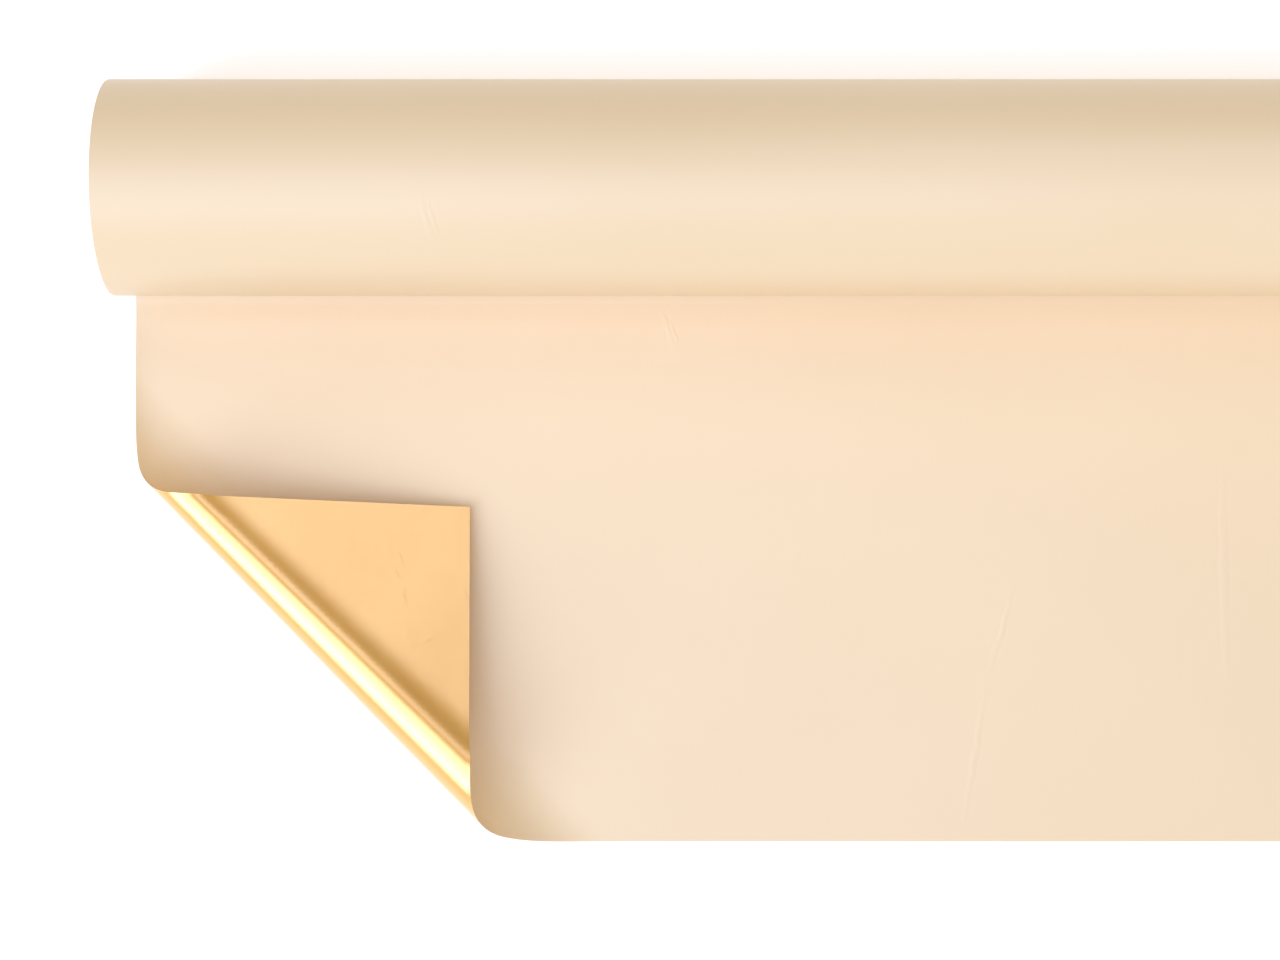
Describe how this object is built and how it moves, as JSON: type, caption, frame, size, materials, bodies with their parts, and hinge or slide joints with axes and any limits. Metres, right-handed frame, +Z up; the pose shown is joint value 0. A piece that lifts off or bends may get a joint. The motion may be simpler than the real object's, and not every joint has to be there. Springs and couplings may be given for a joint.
{
  "type": "wrapping paper roll",
  "caption": "Roll of two-sided gift wrap on a card core, with its free end drawn out flat and one corner turned over to show the metallic back.",
  "frame": {"origin": "middle of the roll's axis, at half its length, inside the bore of the card core", "axes": "+X along the roll; -Y from the roll towards the sheet's cut edge; +Z up, away from the table that the roll and sheet lie on at Z = -0.030"},
  "size_m": [0.7, 0.2166, 0.06],
  "materials": {
    "core_card": "matt grey-brown card",
    "tape": "clear matt tape",
    "wrap_face": "satin cream coated paper",
    "wrap_back": "satin metallic gold coating on paper"
  },
  "bodies": {
    "web": {"outer_turn": "wrap_face"},
    "roll": {"wound_paper": "wrap_face", "core_tube": "core_card", "start_tape": "tape"},
    "sheet": {"free_sheet": "wrap_face", "corner_curl": "wrap_back", "corner_flap": "wrap_back"}
  },
  "joints": [
    {"name": "roll_spin", "type": "hinge", "parent": "web", "child": "roll", "pos_m": [0, 0, 0], "axis": [1, 0, 0], "range_deg": [0, 360]},
    {"name": "paper_feed", "type": "slide", "parent": "web", "child": "sheet", "axis": [0, -1, 0], "range_m": [0, 0.189]}
  ],
  "couplings": [
    {"joint": "paper_feed", "follows": "roll_spin", "m_per_rad": 0.03}
  ]
}
